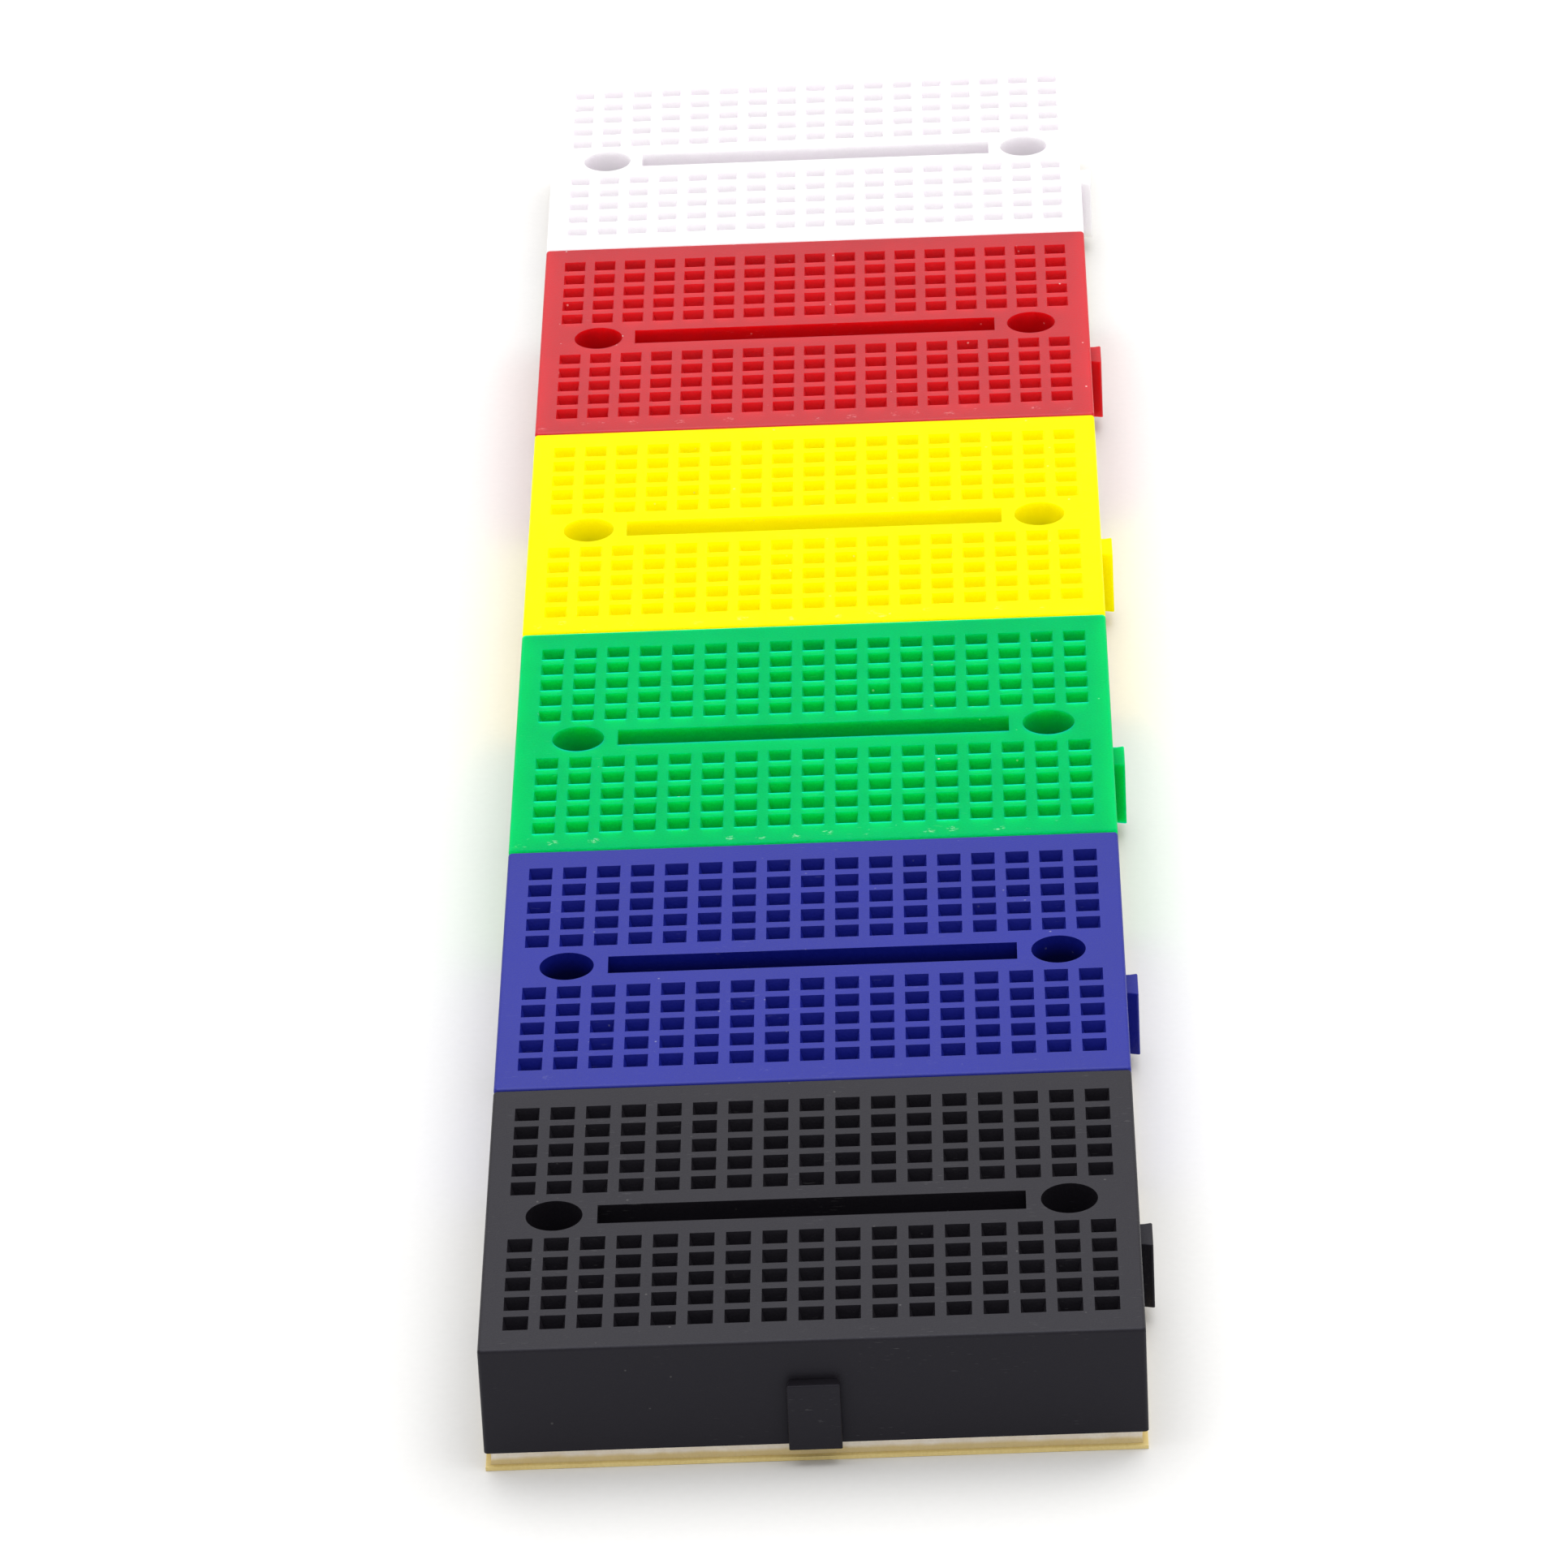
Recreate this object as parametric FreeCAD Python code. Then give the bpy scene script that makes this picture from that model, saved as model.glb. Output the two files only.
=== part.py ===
import FreeCAD
import Part
import os

# A row of six snap-together solderless breadboards, 170 tie points each.
# Millimetres. +Z is up, the front of the row faces -Y, the board stands on Z = 0.
# X = 0 is the middle of the tie-point grid, Y = 0 the middle of the row.

V = FreeCAD.Vector

# Boards from the front of the row to the back.
COLOURS = ["black", "blue", "green", "yellow", "red", "white"]
BOARD_PITCH = 35.0

# Tie-point grid.
PITCH = 2.54
COLUMNS = 17
ROWS = 5
FIRST_ROW = 3.81

# Moulded housing.
BODY_X = 45.72
BODY_Y = 34.9
BODY_H = 8.3
CORNER_R = 0.3
TOP_EDGE_R = 0.25

# Self-adhesive foam pad under the housing and its release liner.
FOAM_T = 1.15
FOAM_INSET = 0.4
LINER_T = 0.3
LINER_INSET = 0.05

# Heights above the table.
FOAM_Z = LINER_T
BODY_Z = LINER_T + FOAM_T
TOP_Z = BODY_Z + BODY_H

# Tie point: a square funnel, then a square shank down to the contact cell.
MOUTH = 1.75
SHANK = 1.0
FUNNEL_DEPTH = 1.4
SHANK_DEPTH = 0.8

# Contact cells: one per tie point, joined at the bottom by a slot for the clip's spine.
CELL = 2.0
SPINE_SLOT_H = 1.7
CELL_TOP_Z = TOP_Z - FUNNEL_DEPTH - SHANK_DEPTH

# Centre trough and the screw holes at its two ends.
TROUGH_X = 30.0
TROUGH_Y = 2.45
TROUGH_DEPTH = 6.0
SCREW_SPACING = 36.07
HEAD_R = 2.0
HEAD_DEPTH = 5.8
SCREW_R = 1.1

# Dovetail tabs: root width, tip width, how far they stand out.
FRONT_TAB = (3.3, 3.75, 0.85)
SIDE_TAB = (2.65, 3.1, 0.92)
TAB_H = 5.15
TAB_EDGE_R = 0.12
SIDE_PLAY = 0.1
TIP_PLAY = 0.15
TOP_PLAY = 0.1
NOTCH_PLAY = 0.35

# Spring clip: one strip of sheet metal folded into five pairs of leaves.
SHEET = 0.2
LEAF_W = 1.9
LEAF_START = 1.5
CLIP_PATH = [(-0.62, 5.85), (-0.15, 4.6), (-0.72, 1.2), (-0.72, 0.25), (-0.57, 0.1)]


def prism(points, push):
    """A straight prism over a closed outline."""
    wire = Part.makePolygon(points + [points[0]])
    return Part.Face(wire).extrude(push)


def block(x0, x1, y0, y1, z0, z1):
    """A box between two corners."""
    return Part.makeBox(x1 - x0, y1 - y0, z1 - z0, V(x0, y0, z0))


def rod(radius, x, z0, z1):
    """An upright cylinder on the board's centre line."""
    return Part.makeCylinder(radius, z1 - z0, V(x, 0, z0))


def column_x(i):
    return (i - (COLUMNS - 1) / 2) * PITCH


def row_y(side, j):
    return side * (FIRST_ROW + j * PITCH)


def bank_y(side):
    return row_y(side, (ROWS - 1) / 2)


def stack(x, y, levels):
    """A closed solid through square rings given as (height, half width), top first."""
    rings = []
    for z, h in levels:
        rings.append([V(x - h, y - h, z), V(x + h, y - h, z), V(x + h, y + h, z), V(x - h, y + h, z)])
    faces = [Part.Face(Part.makePolygon(r + [r[0]])) for r in (rings[0], rings[-1])]
    for upper, lower in zip(rings, rings[1:]):
        for a in range(4):
            b = (a + 1) % 4
            loop = [upper[a], upper[b], lower[b], lower[a], upper[a]]
            faces.append(Part.Face(Part.makePolygon(loop)))
    solid = Part.Solid(Part.Shell(faces))
    if solid.Volume < 0:
        solid.reverse()
    return solid


def tie_point(x, y):
    """The funnel and shank of one tie point, carried on a little above the top face."""
    slope = (MOUTH - SHANK) / 2 / FUNNEL_DEPTH
    over = 0.2
    levels = [
        (TOP_Z + over, MOUTH / 2 + over * slope),
        (TOP_Z - FUNNEL_DEPTH, SHANK / 2),
        (CELL_TOP_Z - 0.1, SHANK / 2),
    ]
    return stack(x, y, levels)


def clip_cavity(x, side):
    """Five cells in a column, open to one slot along the underside."""
    ys = sorted(row_y(side, j) for j in range(ROWS))
    half = CELL / 2
    rib_z = BODY_Z + SPINE_SLOT_H
    points = [V(x - half, ys[0] - half, BODY_Z - 0.5)]
    for j, y in enumerate(ys):
        if j:
            points.append(V(x - half, y - half, rib_z))
        points.append(V(x - half, y - half, CELL_TOP_Z))
        points.append(V(x - half, y + half, CELL_TOP_Z))
        if j < ROWS - 1:
            points.append(V(x - half, y + half, rib_z))
    points.append(V(x - half, ys[-1] + half, BODY_Z - 0.5))
    return prism(points, V(CELL, 0, 0))


def plain_body():
    """The housing's block, with its upright corners and top edges broken."""
    x = BODY_X / 2
    y = BODY_Y / 2
    body = block(-x, x, -y, y, BODY_Z, TOP_Z)
    upright = [e for e in body.Edges if abs(e.tangentAt(0).z) > 0.9]
    body = body.makeFillet(CORNER_R, upright)
    rim = [e for e in body.Edges if e.BoundBox.ZMin > TOP_Z - 0.01]
    return body.makeFillet(TOP_EDGE_R, rim)


def tab_outline(tab, face, root_in):
    """Dovetail outline pointing to -Y from a face at Y = -face."""
    root, tip, out = tab
    return [
        (-root / 2, -face + root_in),
        (-root / 2, -face),
        (-tip / 2, -face - out),
        (tip / 2, -face - out),
        (root / 2, -face),
        (root / 2, -face + root_in),
    ]


def tab(shape, face):
    """A male dovetail on the -Y side, flush with the underside of the housing."""
    outline = tab_outline(shape, face, 0.6)
    solid = prism([V(x, y, BODY_Z) for x, y in outline], V(0, 0, TAB_H))
    tip_y = -face - shape[2]
    soft = []
    for e in solid.Edges:
        box = e.BoundBox
        at_top = box.ZMin > BODY_Z + TAB_H - 0.01 and box.YMax < -face + 0.01
        at_tip = box.YMax < tip_y + 0.01 and box.ZMax - box.ZMin > 1
        if at_top or at_tip:
            soft.append(e)
    return solid.makeFillet(TAB_EDGE_R, soft)


def socket(shape, face, z0):
    """The pocket a neighbour's tab slides up into, cut in the +Y side."""
    root, tip, out = shape
    gap = BOARD_PITCH - BODY_Y
    reach = out - gap
    slope = (tip - root) / 2 / out
    deep = reach + TIP_PLAY
    mouth = root / 2 + gap * slope + SIDE_PLAY
    floor = mouth + deep * slope
    lip = mouth - 0.5 * slope
    outline = [(-lip, face + 0.5), (-floor, face - deep), (floor, face - deep), (lip, face + 0.5)]
    top = BODY_Z + TAB_H + TOP_PLAY
    return prism([V(x, y, z0) for x, y in outline], V(0, 0, top - z0))


def turned(shape, degrees):
    """A copy turned about the board's centre."""
    copy = shape.copy()
    copy.rotate(V(0, 0, 0), V(0, 0, 1), degrees)
    return copy


def housing():
    """One board's moulding with all its openings."""
    body = plain_body()
    front = tab(FRONT_TAB, BODY_Y / 2)
    right = turned(tab(SIDE_TAB, BODY_X / 2), 90)
    body = body.fuse([front, right]).removeSplitter()
    cuts = [socket(FRONT_TAB, BODY_Y / 2, BODY_Z - 1)]
    cuts.append(turned(socket(SIDE_TAB, BODY_X / 2, BODY_Z - 1), 90))
    tx = TROUGH_X / 2
    ty = TROUGH_Y / 2
    cuts.append(block(-tx, tx, -ty, ty, TOP_Z - TROUGH_DEPTH, TOP_Z + 1))
    for x in (-SCREW_SPACING / 2, SCREW_SPACING / 2):
        cuts.append(rod(HEAD_R, x, TOP_Z - HEAD_DEPTH, TOP_Z + 1))
        cuts.append(rod(SCREW_R, x, BODY_Z - 1, TOP_Z - HEAD_DEPTH + 0.5))
    for side in (-1, 1):
        for i in range(COLUMNS):
            cuts.append(clip_cavity(column_x(i), side))
            for j in range(ROWS):
                cuts.append(tie_point(column_x(i), row_y(side, j)))
    return body.cut(cuts)


def ribbon(path, thickness):
    """Both sides of a folded strip of even thickness along a path in X and Z."""
    sides = ([], [])
    for k, (x, z) in enumerate(path):
        before = path[max(k - 1, 0)]
        after = path[min(k + 1, len(path) - 1)]
        d1 = V(x - before[0], 0, z - before[1])
        d2 = V(after[0] - x, 0, after[1] - z)
        d1 = d1.normalize() if k else d2.normalize()
        d2 = d2.normalize() if k < len(path) - 1 else d1
        n1 = V(-d1.z, 0, d1.x)
        n2 = V(-d2.z, 0, d2.x)
        mitre = (n1 + n2) * (thickness / 2 / (1 + n1.dot(n2)))
        sides[0].append(V(x, 0, z) + mitre)
        sides[1].append(V(x, 0, z) - mitre)
    return sides[0] + sides[1][::-1]


def clip():
    """One spring clip, standing on Z = 0 and centred in X and Y."""
    path = CLIP_PATH + [(-x, z) for x, z in reversed(CLIP_PATH)]
    half = (ROWS - 1) / 2 * PITCH + LEAF_W / 2
    outline = [p + V(0, -half, 0) for p in ribbon(path, SHEET)]
    strip = prism(outline, V(0, 2 * half, 0))
    gaps = []
    for j in range(ROWS - 1):
        y = (j - (ROWS - 2) / 2) * PITCH
        gap = (PITCH - LEAF_W) / 2
        gaps.append(block(-2, 2, y - gap, y + gap, LEAF_START, 8))
    return strip.cut(gaps)


def clip_bank(side):
    """The seventeen clips of one bank, each a solid of its own."""
    one = clip()
    clips = []
    for i in range(COLUMNS):
        copy = one.copy()
        copy.translate(V(column_x(i), bank_y(side), BODY_Z))
        clips.append(copy)
    return Part.Compound(clips)


def pad(inset, z, thickness):
    """A sheet under the housing, notched where neighbours' tabs pass."""
    x = BODY_X / 2 - inset
    y = BODY_Y / 2 - inset
    sheet = block(-x, x, -y, y, z, z + thickness)
    notches = []
    for shape, edge, degrees in ((FRONT_TAB, BODY_Y / 2, 0), (SIDE_TAB, BODY_X / 2, 90)):
        w = shape[1] / 2 + NOTCH_PLAY
        deep = shape[2] + NOTCH_PLAY
        notch = block(-w, w, edge - deep, edge + 1, z - 1, z + thickness + 1)
        notches.append(turned(notch, degrees))
    return sheet.cut(notches)


def save(shape, name, y):
    """One board's copy of a shape, written under its own name."""
    copy = shape.copy()
    copy.translate(V(0, y, 0))
    copy.exportStep("parts/" + name + ".step")


os.makedirs("parts", exist_ok=True)
kinds = {
    "housing": housing(),
    "clips_front": clip_bank(-1),
    "clips_rear": clip_bank(1),
    "foam": pad(FOAM_INSET, FOAM_Z, FOAM_T),
    "liner": pad(LINER_INSET, 0, LINER_T),
}
for k, colour in enumerate(COLOURS):
    y = (k - (len(COLOURS) - 1) / 2) * BOARD_PITCH
    for kind, shape in kinds.items():
        save(shape, kind + "_" + colour, y)
for kind, shape in kinds.items():
    print(kind, "solids", len(shape.Solids), "valid", shape.isValid(), "volume", round(shape.Volume, 2))
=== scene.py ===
import math

import bmesh
import bpy
from mathutils import Euler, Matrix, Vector, noise


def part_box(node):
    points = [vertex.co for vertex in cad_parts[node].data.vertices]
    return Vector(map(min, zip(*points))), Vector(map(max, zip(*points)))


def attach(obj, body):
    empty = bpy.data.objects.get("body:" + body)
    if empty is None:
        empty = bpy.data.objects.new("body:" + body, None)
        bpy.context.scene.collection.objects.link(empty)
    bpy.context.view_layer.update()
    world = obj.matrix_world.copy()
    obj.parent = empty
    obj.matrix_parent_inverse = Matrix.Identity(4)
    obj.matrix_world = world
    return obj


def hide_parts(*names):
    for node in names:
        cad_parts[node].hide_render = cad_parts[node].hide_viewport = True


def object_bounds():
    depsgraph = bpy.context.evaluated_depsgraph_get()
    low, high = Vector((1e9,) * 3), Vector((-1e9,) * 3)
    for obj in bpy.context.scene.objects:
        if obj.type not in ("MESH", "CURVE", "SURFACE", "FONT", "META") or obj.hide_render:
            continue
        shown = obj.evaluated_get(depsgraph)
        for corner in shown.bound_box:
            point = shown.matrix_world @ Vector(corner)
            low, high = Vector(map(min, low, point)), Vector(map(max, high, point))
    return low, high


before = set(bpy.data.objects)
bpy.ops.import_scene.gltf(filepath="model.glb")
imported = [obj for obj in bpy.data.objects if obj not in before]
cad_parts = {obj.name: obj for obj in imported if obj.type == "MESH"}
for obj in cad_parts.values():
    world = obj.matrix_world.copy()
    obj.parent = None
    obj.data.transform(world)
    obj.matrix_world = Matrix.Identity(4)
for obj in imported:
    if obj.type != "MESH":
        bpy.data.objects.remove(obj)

cad_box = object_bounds()
scene = bpy.context.scene
MM = 0.001

# --- Camera -----------------------------------------------------------------
# A long lens on a stand in front of the row, looking down on it. The camera leans
# a little to its right, so the boards' front edges climb to the right.
table_z = cad_box[0].z
top_z = cad_box[1].z
AIM_RIGHT = -2.2 * MM
AIM_BACK = -25.9 * MM
CAMERA_DISTANCE = 693.2 * MM
CAMERA_ELEVATION = math.radians(28.73)
CAMERA_AZIMUTH = math.radians(1.61)
CAMERA_LEAN = math.radians(-2.82)
LENS_MM = 209.9
SENSOR_MM = 36
NEAREST = 0.01
FARTHEST = 50

aim = Vector((AIM_RIGHT, AIM_BACK, top_z))
towards_camera = Vector((
    math.sin(CAMERA_AZIMUTH) * math.cos(CAMERA_ELEVATION),
    -math.cos(CAMERA_AZIMUTH) * math.cos(CAMERA_ELEVATION),
    math.sin(CAMERA_ELEVATION),
))
camera_data = bpy.data.cameras.new("camera")
camera_data.lens = LENS_MM
camera_data.sensor_width = SENSOR_MM
camera_data.clip_start = NEAREST
camera_data.clip_end = FARTHEST
camera = bpy.data.objects.new("camera", camera_data)
scene.collection.objects.link(camera)
camera.location = aim + towards_camera * CAMERA_DISTANCE
upright = (-towards_camera).to_track_quat("-Z", "Y")
camera.rotation_mode = "QUATERNION"
camera.rotation_quaternion = upright @ Euler((0, 0, CAMERA_LEAN)).to_quaternion()
scene.camera = camera
scene.view_settings.view_transform = "Standard"


# --- Table and studio light --------------------------------------------------
# A sheet of white card under the row, and white diffusers on every side. One big
# softbox hangs overhead, a little behind and to the right, so the shadows are soft.
class Wire:
    """An output in a node tree. Sums on it add Math nodes; node() adds any other."""

    def __init__(self, tree, socket=None):
        self.tree = tree
        self.socket = socket

    def node(self, kind, settings=None, sockets=None, output=0):
        made = self.tree.nodes.new(kind)
        for name, value in (settings or {}).items():
            setattr(made, name, value)
        for name, value in (sockets or {}).items():
            if isinstance(value, Wire):
                self.tree.links.new(value.socket, made.inputs[name])
            else:
                made.inputs[name].default_value = value
        return Wire(self.tree, made.outputs[output])

    def math(self, operation, *values):
        return self.node("ShaderNodeMath", {"operation": operation}, dict(enumerate(values)))

    def __add__(self, other):
        return self.math("ADD", self, other)

    def __radd__(self, other):
        return self.math("ADD", other, self)

    def __sub__(self, other):
        return self.math("SUBTRACT", self, other)

    def __rsub__(self, other):
        return self.math("SUBTRACT", other, self)

    def __mul__(self, other):
        return self.math("MULTIPLY", self, other)

    def __rmul__(self, other):
        return self.math("MULTIPLY", other, self)

    def clamped(self, low, high):
        """0 where the value is at low, 1 where it is at high, straight between."""
        sockets = {"Value": self, "From Min": low, "From Max": high}
        return self.node("ShaderNodeMapRange", {"clamp": True}, sockets)

    def mixed(self, first, second):
        """A colour between two, by this value."""
        settings = {"data_type": "RGBA"}
        sockets = {0: self, 6: first, 7: second}
        return self.node("ShaderNodeMix", settings, sockets, output=2)

    def place(self):
        """Where a point is on the piece, in metres."""
        return self.node("ShaderNodeTexCoord", output=3)

    def part(self, axis):
        """One of a vector's three values."""
        return self.node("ShaderNodeSeparateXYZ", None, {"Vector": self}, output=axis)

    def stretched(self, x, y, z):
        """The place with each axis multiplied."""
        settings = {"operation": "MULTIPLY"}
        return self.node("ShaderNodeVectorMath", settings, {0: self, 1: (x, y, z)})

    def noise(self, size, detail=2.0, roughness=0.5):
        """Smooth noise whose blotches are about this many metres across."""
        sockets = {"Vector": self, "Scale": 1 / size, "Detail": detail, "Roughness": roughness}
        return self.node("ShaderNodeTexNoise", None, sockets)

    def bump(self, depth, under=None):
        """A normal raised by this value times a depth in metres."""
        sockets = {"Strength": 1.0, "Distance": depth, "Height": self}
        if under:
            sockets["Normal"] = under
        return self.node("ShaderNodeBump", None, sockets)


def new_material(name):
    """A material with its Principled shader and a wire to build on."""
    material = bpy.data.materials.new(name)
    material.use_nodes = True
    shader = material.node_tree.nodes["Principled BSDF"]
    return material, shader, Wire(material.node_tree)


def join(wire, socket):
    """Links a wire to one of the shader's sockets."""
    wire.tree.links.new(wire.socket, socket)


TABLE_SIZE = 8.0
CARD_DULL = (0.735, 0.735, 0.725, 1)
CARD_BRIGHT = (0.755, 0.755, 0.745, 1)
CARD_FIBRE = 0.6 * MM
CARD_RELIEF = 0.01 * MM
mesh = bmesh.new()
bmesh.ops.create_grid(mesh, x_segments=2, y_segments=2, size=TABLE_SIZE / 2)
bmesh.ops.translate(mesh, verts=mesh.verts, vec=(0, 0, table_z))
table_mesh = bpy.data.meshes.new("table")
mesh.to_mesh(table_mesh)
mesh.free()
table = bpy.data.objects.new("table", table_mesh)
scene.collection.objects.link(table)
card, shader, wire = new_material("white_card")
fibres = wire.place().noise(CARD_FIBRE, detail=3.0)
join(fibres.clamped(0.2, 0.8).mixed(CARD_DULL, CARD_BRIGHT), shader.inputs["Base Color"])
join(fibres.bump(CARD_RELIEF), shader.inputs["Normal"])
shader.inputs["Roughness"].default_value = 0.85
shader.inputs["Specular IOR Level"].default_value = 0.2
table_mesh.materials.append(card)

SKY_COLOUR = (1.0, 0.985, 0.985, 1)
SKY_STRENGTH = 0.62
SOFTBOX_PLACE = Vector((0.08, 0.30, 1.2))
SOFTBOX_SIZE = 1.7
SOFTBOX_POWER = 23.5
world = bpy.data.worlds.new("diffusers")
world.use_nodes = True
sky = world.node_tree.nodes["Background"]
sky.inputs["Color"].default_value = SKY_COLOUR
sky.inputs["Strength"].default_value = SKY_STRENGTH
scene.world = world
softbox_data = bpy.data.lights.new("softbox", "AREA")
softbox_data.energy = SOFTBOX_POWER
softbox_data.size = SOFTBOX_SIZE
softbox = bpy.data.objects.new("softbox", softbox_data)
scene.collection.objects.link(softbox)
softbox.location = SOFTBOX_PLACE
softbox.rotation_euler = (-SOFTBOX_PLACE).to_track_quat("-Z", "Y").to_euler()


# --- Housings ----------------------------------------------------------------
# One injection-moulded block for each board, in plain coloured plastic. The mould
# leaves a fine satin grain on it, and handling leaves dust and hairline scuffs.
#
# base: the colour. shine, gloss: the tint and strength of its reflections. glow,
# bleed: how much light passes through it, and how far for each colour, in
# GLOW_DEPTHs. deep: a scale on the colour within the openings, painted light above 1
# and painted shade below. mottle: how far it varies.
PLASTICS = {
    "black": {
        "base": (0.0095, 0.0082, 0.0110), "shine": (0.82, 0.84, 1), "gloss": 0.235,
        "glow": 0.0, "bleed": (0.1, 0.1, 0.1),
        "nicks": 0.02, "dust": 0.12, "deep": 1.5, "mottle": 0.12,
    },
    "blue": {
        "base": (0.003, 0.008, 0.240), "shine": (0.91, 0.95, 1), "gloss": 0.32,
        "glow": 0.0, "bleed": (0.1, 0.1, 0.1),
        "nicks": 0.1, "dust": 0.3, "deep": 0.3, "mottle": 0.12,
    },
    "green": {
        "base": (0.0, 0.375, 0.092), "shine": (0.0, 1, 1), "gloss": 0.02,
        "glow": 1.0, "bleed": (0.1, 2.8, 0.75),
        "nicks": 0.55, "dust": 0.7, "deep": 1.2, "mottle": 0.12,
    },
    "yellow": {
        "base": (0.99, 0.80, 0.0), "shine": (1, 1, 0.0), "gloss": 0.04,
        "glow": 1.0, "bleed": (1.6, 1.4, 0.1),
        "nicks": 0.3, "dust": 0.5, "deep": 1.12, "mottle": 0.05,
    },
    "red": {
        "base": (0.43, 0.001, 0.005), "shine": (1, 0.87, 1), "gloss": 0.45,
        "glow": 1.0, "bleed": (2.8, 0.1, 0.1),
        "nicks": 0.5, "dust": 1.0, "deep": 1.3, "mottle": 0.12,
    },
    "white": {
        "base": (0.86, 0.83, 0.86), "shine": (1, 1, 1), "gloss": 0.45,
        "glow": 0.9, "bleed": (1.0, 0.95, 1.0),
        "nicks": 0.0, "dust": 0.0, "deep": 1.03, "mottle": 0.02,
    },
}
GLOW_DEPTH = 2.2 * MM
# The bulk of a noise's values lies between these two.
NOISE_LOW = 0.3
NOISE_HIGH = 0.7

# The mould's grain, and the slow waves where the plastic sank as it cooled.
GRAIN = 0.16 * MM
GRAIN_DEPTH = 0.014 * MM
SINK = 9 * MM
SINK_DEPTH = 0.02 * MM
SATIN = 0.46
SATIN_GRAIN = 0.30
SATIN_SINK = 0.12

# The outer walls' thickness, and the depths over which the painted light and shade within the
# openings comes in.
WALL = 0.5 * MM
FADE_TOP = 0.5 * MM
FADE_END = 1.7 * MM

DUST_SPACING = 1.6 * MM
DUST_SIZE = 0.08 * MM
DUST_LUCK = (0.60, 0.80)
DUST_COVER = 0.75
DUST_COLOUR = (0.72, 0.70, 0.66, 1)
DUST_HEIGHT = 1.5
DUST_ROUGHNESS = 0.3

SCUFF_WIDTH = 0.11 * MM
SCUFF_STRETCH = 0.12
SCUFF_EDGE = (0.70, 0.76)
SCUFF_COVER = 0.10
PATCH = 6 * MM
PATCH_EDGE = (0.50, 0.66)

# Width and strength of the paler outer top edges, part rubbing and part painted highlight.
PALE_EDGE_WIDTH = 0.22 * MM
PALE_EDGE_COVER = 0.012

NICK_PLACE = 1.25 * MM
NICK_BAND = 0.75 * MM
NICK_SPACING = 2.54 * MM
NICK_SIZE = 0.5 * MM
NICK_DEPTH = (0.1 * MM, 0.3 * MM)
FLICK_SIZE = 0.2 * MM
FLICK_EDGE = (0.53, 0.62)

# The pale colour of scuffs, nicks and the paler outer edges, the last partly a painted
# highlight.
PALE_TIMES = 0.85
PALE_PLUS = 0.35


def solid_colour(rgb, times=1.0, plus=0.0):
    """A colour with its fourth value, made lighter or darker."""
    return tuple(min(1.0, c * times + plus) for c in rgb) + (1.0,)


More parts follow.
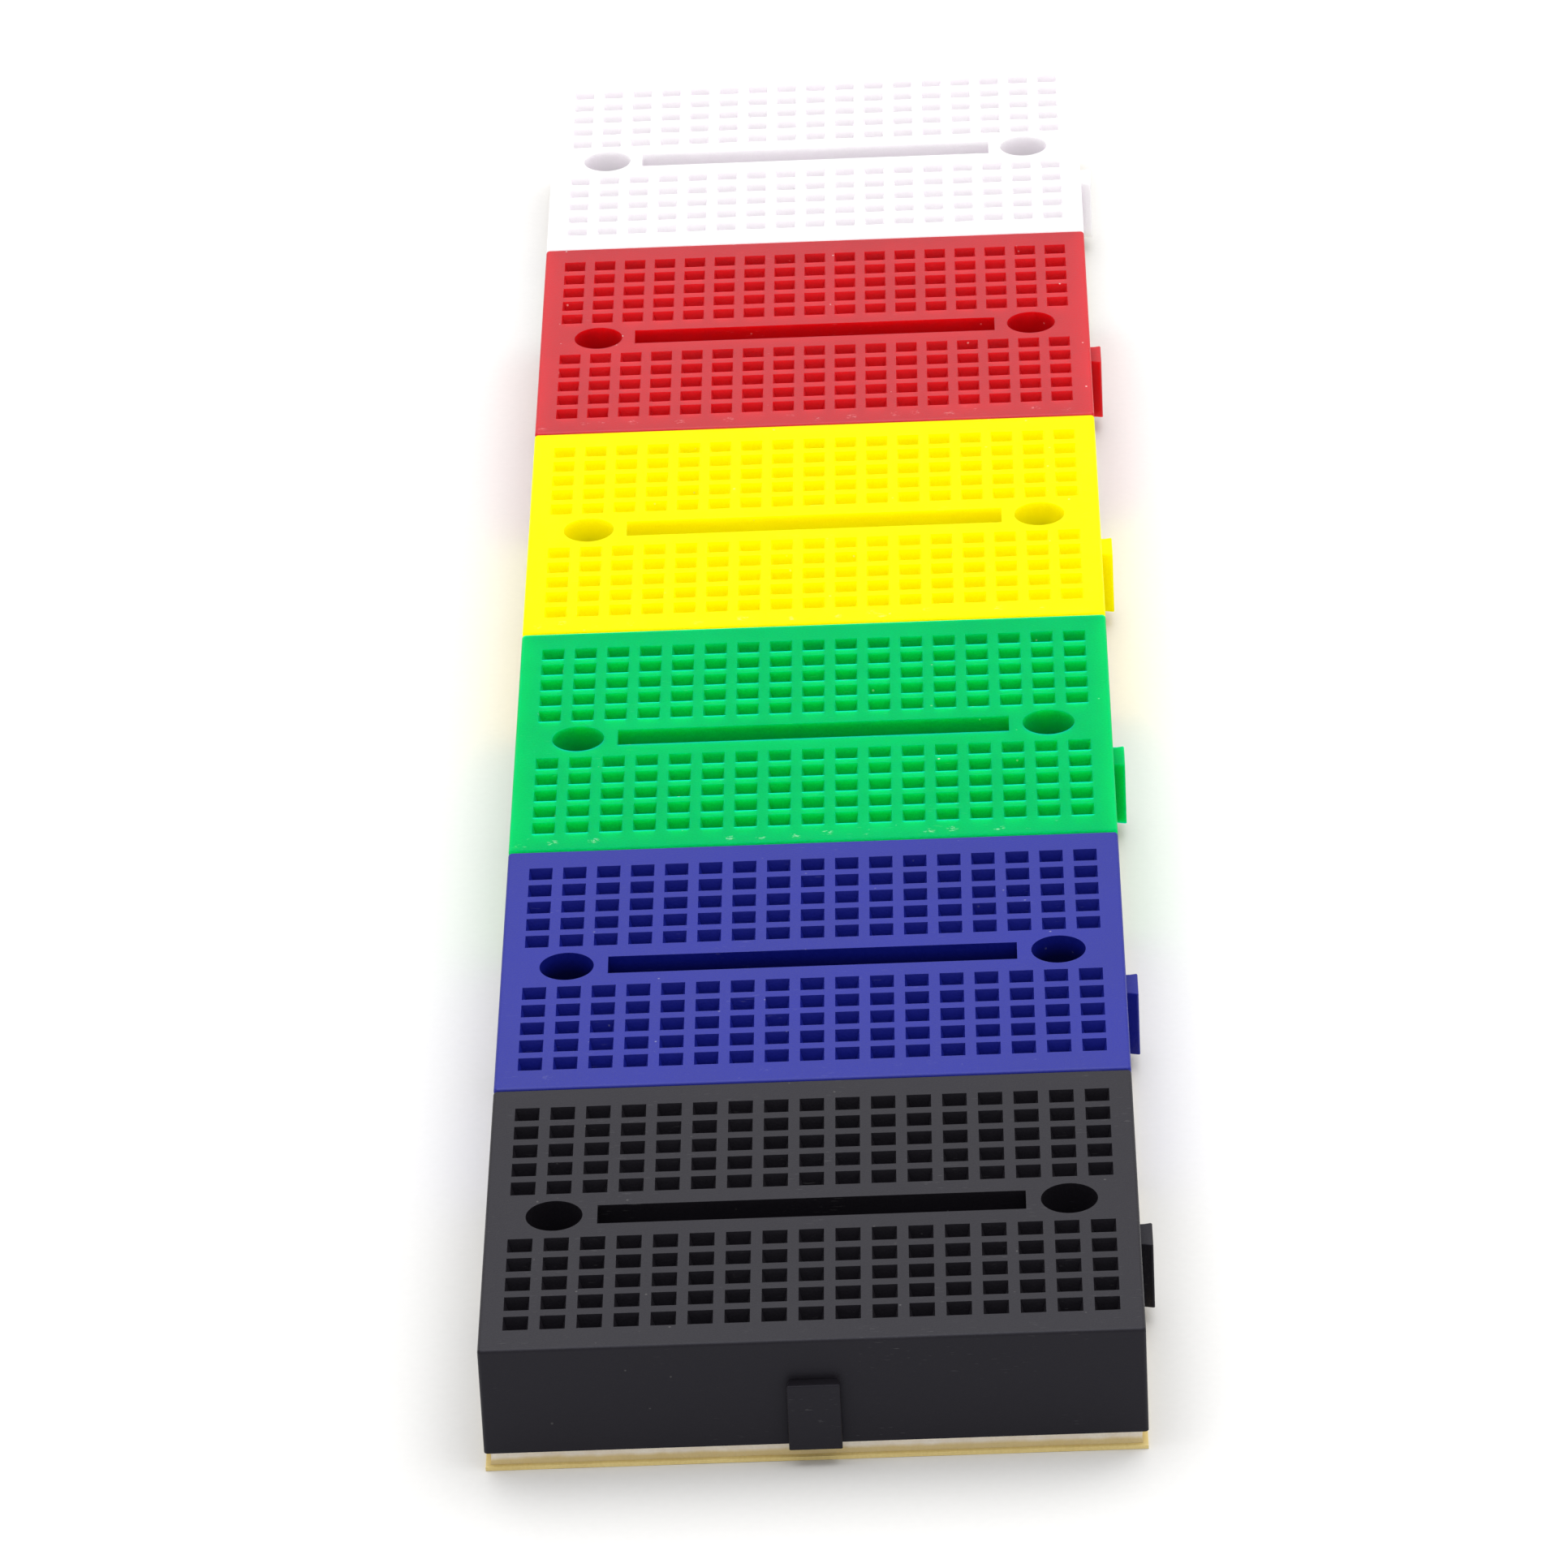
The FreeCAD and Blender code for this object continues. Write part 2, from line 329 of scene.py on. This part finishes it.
def plastic(colour, board_low, board_high):
    """One board's moulded plastic: handling marks, paler outer top edges partly from rubbing
    and partly a painted highlight, and painted light and shade within its openings.
    """
    look = PLASTICS[colour]
    base = look["base"]
    mottle = look["mottle"]
    material, shader, wire = new_material("plastic_" + colour)
    place = wire.place()
    grain = place.noise(GRAIN, detail=2.0, roughness=0.6)
    cloud = place.noise(SINK, detail=3.0)
    tone = (grain * 0.6 + cloud * 0.4).clamped(NOISE_LOW, NOISE_HIGH)
    fresh = tone.mixed(solid_colour(base, 1 - mottle), solid_colour(base, 1 + mottle, 0.001))

    # Distances from the board's middle and from its top.
    middle = (board_low + board_high) / 2
    half = (board_high - board_low) / 2
    aside = place.part(0) - middle.x
    aside = aside.math("ABSOLUTE", aside)
    along = place.part(1) - middle.y
    along = along.math("ABSOLUTE", along)
    depth = top_z - place.part(2)

    # Within the openings, away from the outer walls, the colour is scaled to paint in
    # light and shade: painted light on most boards, and painted shade on the blue.
    wall_x = aside.clamped(half.x - 2 * WALL, half.x - WALL)
    wall_y = along.clamped(half.y - 2 * WALL, half.y - WALL)
    inner = (1 - wall_x) * (1 - wall_y)
    opening_paint_mask = inner * depth.clamped(FADE_TOP, FADE_END)
    body = opening_paint_mask.mixed(fresh, solid_colour(base, look["deep"]))

    # Dust: a small pale grain in some of the cells of a loose net.
    net_sockets = {"Vector": place, "Scale": 1 / DUST_SPACING, "Randomness": 1.0}
    far = place.node("ShaderNodeTexVoronoi", None, net_sockets)
    cell = place.node("ShaderNodeTexVoronoi", None, net_sockets, output=1)
    luck = cell.node("ShaderNodeSeparateColor", None, {"Color": cell})
    few = luck.clamped(*DUST_LUCK) * look["dust"]
    reach = DUST_SIZE / DUST_SPACING
    ragged = far + (grain - 0.5) * reach
    dust = (1 - ragged.clamped(reach * 0.6, reach * 1.4)) * few

    # Scuffs: short hairlines across the board, in patches.
    streaks = place.stretched(SCUFF_STRETCH, 1.0, 1.0).noise(SCUFF_WIDTH, detail=1.0)
    patches = place.noise(PATCH, detail=1.0)
    scuff = streaks.clamped(*SCUFF_EDGE) * patches.clamped(*PATCH_EDGE)

    # The outer top edges are painted a little paler: partly from rubbing, partly a painted
    # highlight on their rounding.
    side = aside.clamped(half.x - PALE_EDGE_WIDTH, half.x)
    end = along.clamped(half.y - PALE_EDGE_WIDTH, half.y)
    near_top = 1 - depth.clamped(0.3 * PALE_EDGE_WIDTH, 1.2 * PALE_EDGE_WIDTH)
    pale_edge_patches = patches.clamped(NOISE_LOW, NOISE_HIGH)
    edge = side.math("MAXIMUM", side, end) * near_top * pale_edge_patches

    # Nicks: small pale flicks along the front margin, where the next board rides past.
    forward = place.part(1) - (board_low.y + NICK_PLACE)
    forward = forward.math("ABSOLUTE", forward)
    band = 1 - forward.clamped(NICK_BAND * 0.6, NICK_BAND)
    spots = {"Vector": place, "Scale": 1 / NICK_SPACING, "Randomness": 0.8}
    from_spot = place.node("ShaderNodeTexVoronoi", {"voronoi_dimensions": "2D"}, spots)
    spread = NICK_SIZE / NICK_SPACING
    in_spot = 1 - from_spot.clamped(0.5 * spread, spread)
    flicks = place.stretched(0.5, 1.0, 1.0).noise(FLICK_SIZE, detail=2.0, roughness=0.7)
    on_top = 1 - depth.clamped(*NICK_DEPTH)
    nick = band * in_spot * flicks.clamped(*FLICK_EDGE) * on_top * look["nicks"]

    # Scuffs and nicks are handling marks; the pale outer edges are part rubbing and part
    # painted highlight.
    wear_and_highlight = edge * PALE_EDGE_COVER + scuff * SCUFF_COVER + nick
    rubbed_and_highlit = wear_and_highlight.mixed(body, solid_colour(base, PALE_TIMES, PALE_PLUS))
    dusty = (dust * DUST_COVER).mixed(rubbed_and_highlit, DUST_COLOUR)
    join(dusty, shader.inputs["Base Color"])
    satin = SATIN + (grain - 0.5) * SATIN_GRAIN + (cloud - 0.5) * SATIN_SINK
    join(satin + dust * DUST_ROUGHNESS, shader.inputs["Roughness"])
    sunk = cloud.bump(SINK_DEPTH)
    raised = (grain + dust * DUST_HEIGHT).bump(GRAIN_DEPTH, under=sunk)
    join(raised, shader.inputs["Normal"])
    shader.inputs["Specular Tint"].default_value = look["shine"] + (1,)
    shader.inputs["Specular IOR Level"].default_value = look["gloss"]
    shader.inputs["Subsurface Weight"].default_value = look["glow"]
    shader.inputs["Subsurface Radius"].default_value = look["bleed"]
    shader.inputs["Subsurface Scale"].default_value = GLOW_DEPTH
    return material


def dress(node, material):
    """Gives a CAD node its material."""
    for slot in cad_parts[node].material_slots:
        slot.material = material


# A housing's own box takes in its tabs, so a board's outline is read from its liner,
# which is set in by this much all round.
LINER_INSET = 0.05 * MM
for colour in PLASTICS:
    low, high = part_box("liner_" + colour)
    inset = Vector((LINER_INSET, LINER_INSET, 0))
    dress("housing_" + colour, plastic(colour, low - inset, high + inset))


# --- Contact clips -----------------------------------------------------------
# Folded strips of phosphor bronze, nickel plated, pushed up into the housing from
# below. The rolled strip keeps a fine grain along its length.
ROLLED_GRAIN = 0.05 * MM
ROLLED_STRETCH = 0.08
ROLLED_DEPTH = 0.002 * MM
TARNISH = 1.8 * MM
NICKEL = (0.74, 0.71, 0.64, 1)
TARNISHED = (0.60, 0.52, 0.38, 1)
clip_metal, shader, wire = new_material("nickel_plated_strip")
rolled = wire.place().stretched(1.0, ROLLED_STRETCH, 1.0).noise(ROLLED_GRAIN, detail=3.0)
tarnish = wire.place().noise(TARNISH, detail=2.0)
join(tarnish.clamped(0.35, 0.75).mixed(NICKEL, TARNISHED), shader.inputs["Base Color"])
join(0.26 + rolled * 0.14 + tarnish * 0.08, shader.inputs["Roughness"])
join(rolled.bump(ROLLED_DEPTH), shader.inputs["Normal"])
shader.inputs["Metallic"].default_value = 1.0
for colour in PLASTICS:
    dress("clips_front_" + colour, clip_metal)
    dress("clips_rear_" + colour, clip_metal)


# --- Foam pads ---------------------------------------------------------------
# Closed-cell foam tape, die cut to the board's outline and stuck under it. The cut
# edges bow in a little where the weight squeezes them, and show the open cells. The
# glue on the underside has crept up the edge and yellowed it.
FOAM_STEP = 1.3 * MM
FOAM_LAYERS = 5
FOAM_BOW = 0.10 * MM
FOAM_RAGGED = 0.06 * MM
FOAM_TEAR = 0.7 * MM
FOAM_CELL = 0.22 * MM
FOAM_RELIEF = 0.05 * MM
FOAM_BLOTCH = 1.5 * MM
FOAM_SHADED = (0.88, 0.79, 0.66, 1)
FOAM_PALE = (0.96, 0.90, 0.80, 1)
GLUE_TOP = 0.60 * MM
GLUE_FADE = 0.25 * MM
GLUE_COVER = 0.85
GLUE_COLOUR = (0.76, 0.60, 0.26, 1)
# A point's normal leans outwards by at least this much on a cut edge.
CUT_EDGE = 0.3
foam_material, shader, wire = new_material("foam_tape")
place = wire.place()
cells = place.node("ShaderNodeTexVoronoi", None, {"Vector": place, "Scale": 1 / FOAM_CELL})
blotch = place.noise(FOAM_BLOTCH, detail=3.0)
clean = blotch.clamped(NOISE_LOW, NOISE_HIGH).mixed(FOAM_SHADED, FOAM_PALE)
height = place.part(2) - table_z
uneven = height + (blotch - 0.5) * GLUE_FADE
creep = 1 - uneven.clamped(GLUE_TOP, GLUE_TOP + GLUE_FADE)
join((creep * GLUE_COVER).mixed(clean, GLUE_COLOUR), shader.inputs["Base Color"])
join(0.80 + (blotch - 0.5) * 0.2, shader.inputs["Roughness"])
join((cells + blotch * 0.5).bump(FOAM_RELIEF), shader.inputs["Normal"])
shader.inputs["Specular IOR Level"].default_value = 0.25


def cut_up(mesh, low, high, step, axis):
    """Slices a mesh square to an axis at even steps, so that it can bend."""
    span = high[axis] - low[axis]
    count = max(2, round(span / step))
    normal = [0, 0, 0]
    normal[axis] = 1
    for k in range(1, count):
        place = list(low)
        place[axis] = low[axis] + span * k / count
        geometry = mesh.verts[:] + mesh.edges[:] + mesh.faces[:]
        bmesh.ops.bisect_plane(mesh, geom=geometry, plane_co=place, plane_no=normal)


def sheet_mesh(node, step, layers):
    """A merged copy of a CAD sheet, sliced finely enough to bend."""
    low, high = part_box(node)
    same_point = 0.001 * MM
    flat_angle = 0.01
    mesh = bmesh.new()
    mesh.from_mesh(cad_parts[node].data)
    bmesh.ops.remove_doubles(mesh, verts=mesh.verts, dist=same_point)
    bmesh.ops.dissolve_limit(mesh, angle_limit=flat_angle, verts=mesh.verts, edges=mesh.edges)
    cut_up(mesh, low, high, step, 0)
    cut_up(mesh, low, high, step, 1)
    cut_up(mesh, low, high, (high.z - low.z) / layers, 2)
    return mesh, low, high


def new_piece(mesh, name, material, body, node):
    """Turns a bmesh into a piece that stands for a CAD node and rides on its body."""
    data = bpy.data.meshes.new(name)
    bmesh.ops.recalc_face_normals(mesh, faces=mesh.faces)
    mesh.to_mesh(data)
    mesh.free()
    data.materials.append(material)
    piece = bpy.data.objects.new(name, data)
    scene.collection.objects.link(piece)
    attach(piece, body)
    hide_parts(node)
    return piece


for colour in PLASTICS:
    mesh, low, high = sheet_mesh("foam_" + colour, FOAM_STEP, FOAM_LAYERS)
    mesh.normal_update()
    moves = []
    for vert in mesh.verts:
        outwards = Vector((vert.normal.x, vert.normal.y, 0))
        if outwards.length < CUT_EDGE:
            continue
        up = (vert.co.z - low.z) / (high.z - low.z)
        bow = math.sin(math.pi * up)
        ragged = noise.noise(vert.co / FOAM_TEAR) * FOAM_RAGGED
        moves.append((vert, outwards.normalized() * (ragged - FOAM_BOW * bow)))
    for vert, move in moves:
        vert.co += move
    body, node = "board_" + colour, "foam_" + colour
    pad = new_piece(mesh, "foam_pad_" + colour, foam_material, body, node)


# --- Release liners ----------------------------------------------------------
# Waxed tan paper under the foam's glue, cut a little larger than the foam so that a
# nail can catch it. It lies almost flat, and its rim is a little wavy.
LINER_STEP = 1.5 * MM
LINER_WAVE = 0.05 * MM
LINER_WAVE_LENGTH = 6 * MM
# Past this share of the way from the middle to the edge, a point is on the rim.
LINER_RIM = 0.97
PULP = 0.25 * MM
PULP_STRETCH = 0.35
PULP_RELIEF = 0.012 * MM
PAPER_SHADE = 5 * MM
PAPER_DULL = (0.74, 0.57, 0.21, 1)
PAPER_BRIGHT = (0.88, 0.72, 0.31, 1)
liner_paper, shader, wire = new_material("liner_paper")
place = wire.place()
pulp = place.stretched(1.0, PULP_STRETCH, 1.0).noise(PULP, detail=4.0, roughness=0.6)
shade = place.noise(PAPER_SHADE, detail=2.0)
tone = (pulp * 0.5 + shade * 0.5).clamped(NOISE_LOW, NOISE_HIGH)
join(tone.mixed(PAPER_DULL, PAPER_BRIGHT), shader.inputs["Base Color"])
join(0.42 + pulp * 0.2, shader.inputs["Roughness"])
join(pulp.bump(PULP_RELIEF), shader.inputs["Normal"])
for colour in PLASTICS:
    mesh, low, high = sheet_mesh("liner_" + colour, LINER_STEP, 1)
    middle = (low + high) / 2
    for vert in mesh.verts:
        across = abs(vert.co.x - middle.x) / (high.x - middle.x)
        back = abs(vert.co.y - middle.y) / (high.y - middle.y)
        flat = Vector((vert.co.x, vert.co.y, 0))
        wave = noise.noise(flat / LINER_WAVE_LENGTH) * 0.5 + 0.5
        if vert.co.z < middle.z and max(across, back) > LINER_RIM:
            vert.co.z += LINER_WAVE * wave
    body, node = "board_" + colour, "liner_" + colour
    new_piece(mesh, "liner_sheet_" + colour, liner_paper, body, node)
